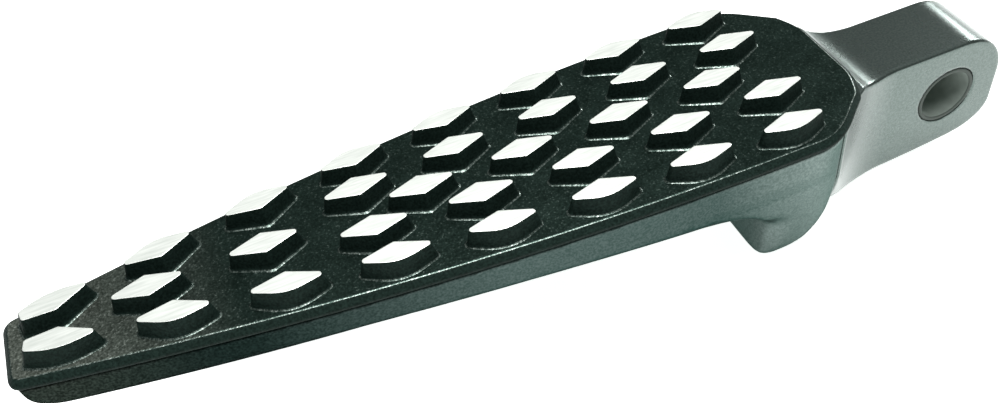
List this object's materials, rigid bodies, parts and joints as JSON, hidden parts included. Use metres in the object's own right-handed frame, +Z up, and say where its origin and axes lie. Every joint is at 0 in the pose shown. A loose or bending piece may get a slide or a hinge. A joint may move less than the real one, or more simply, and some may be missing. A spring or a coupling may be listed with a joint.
{
  "type": "motorcycle foot peg",
  "caption": "Tapered folding foot peg: studded tread plate on a hollow body, with a bored mount tongue that turns on a steel bush.",
  "frame": {"origin": "centre of the pivot bore, on the bore axis and halfway through the tongue", "axes": "+Y along the bore axis, +X from the tip of the peg towards the end of the tongue, +Z up out of the tread"},
  "size_m": [0.1462, 0.0328, 0.0261],
  "materials": {
    "tread_cast": "cast aluminium, textured black anodised, stud tops machined bright",
    "stud_bright": "bright machined stud tops",
    "body_gloss": "smooth black anodised, satin gloss",
    "arm_gloss": "smooth black anodised, satin gloss",
    "dark_steel": "blackened steel",
    "zinc_steel": "zinc plated",
    "spring_steel": "plain spring steel"
  },
  "bodies": {
    "pivot": {"pivot_bush": "dark_steel"},
    "peg": {"tread_plate": "tread_cast", "peg_body": "body_gloss", "mount_arm": "arm_gloss", "arm_screw": "zinc_steel", "arm_screw_washer": "spring_steel", "arm_roll_pin": "dark_steel", "tread_screw_1": "zinc_steel", "tread_screw_washer_1": "spring_steel", "tread_screw_2": "zinc_steel", "tread_screw_washer_2": "spring_steel", "tread_screw_3": "zinc_steel", "tread_screw_washer_3": "spring_steel", "tread_screw_4": "zinc_steel", "tread_screw_washer_4": "spring_steel"}
  },
  "joints": [
    {"name": "fold", "type": "hinge", "parent": "pivot", "child": "peg", "pos_m": [0, 0, 0], "axis": [0, 1, 0], "range_deg": [0, 85]}
  ]
}
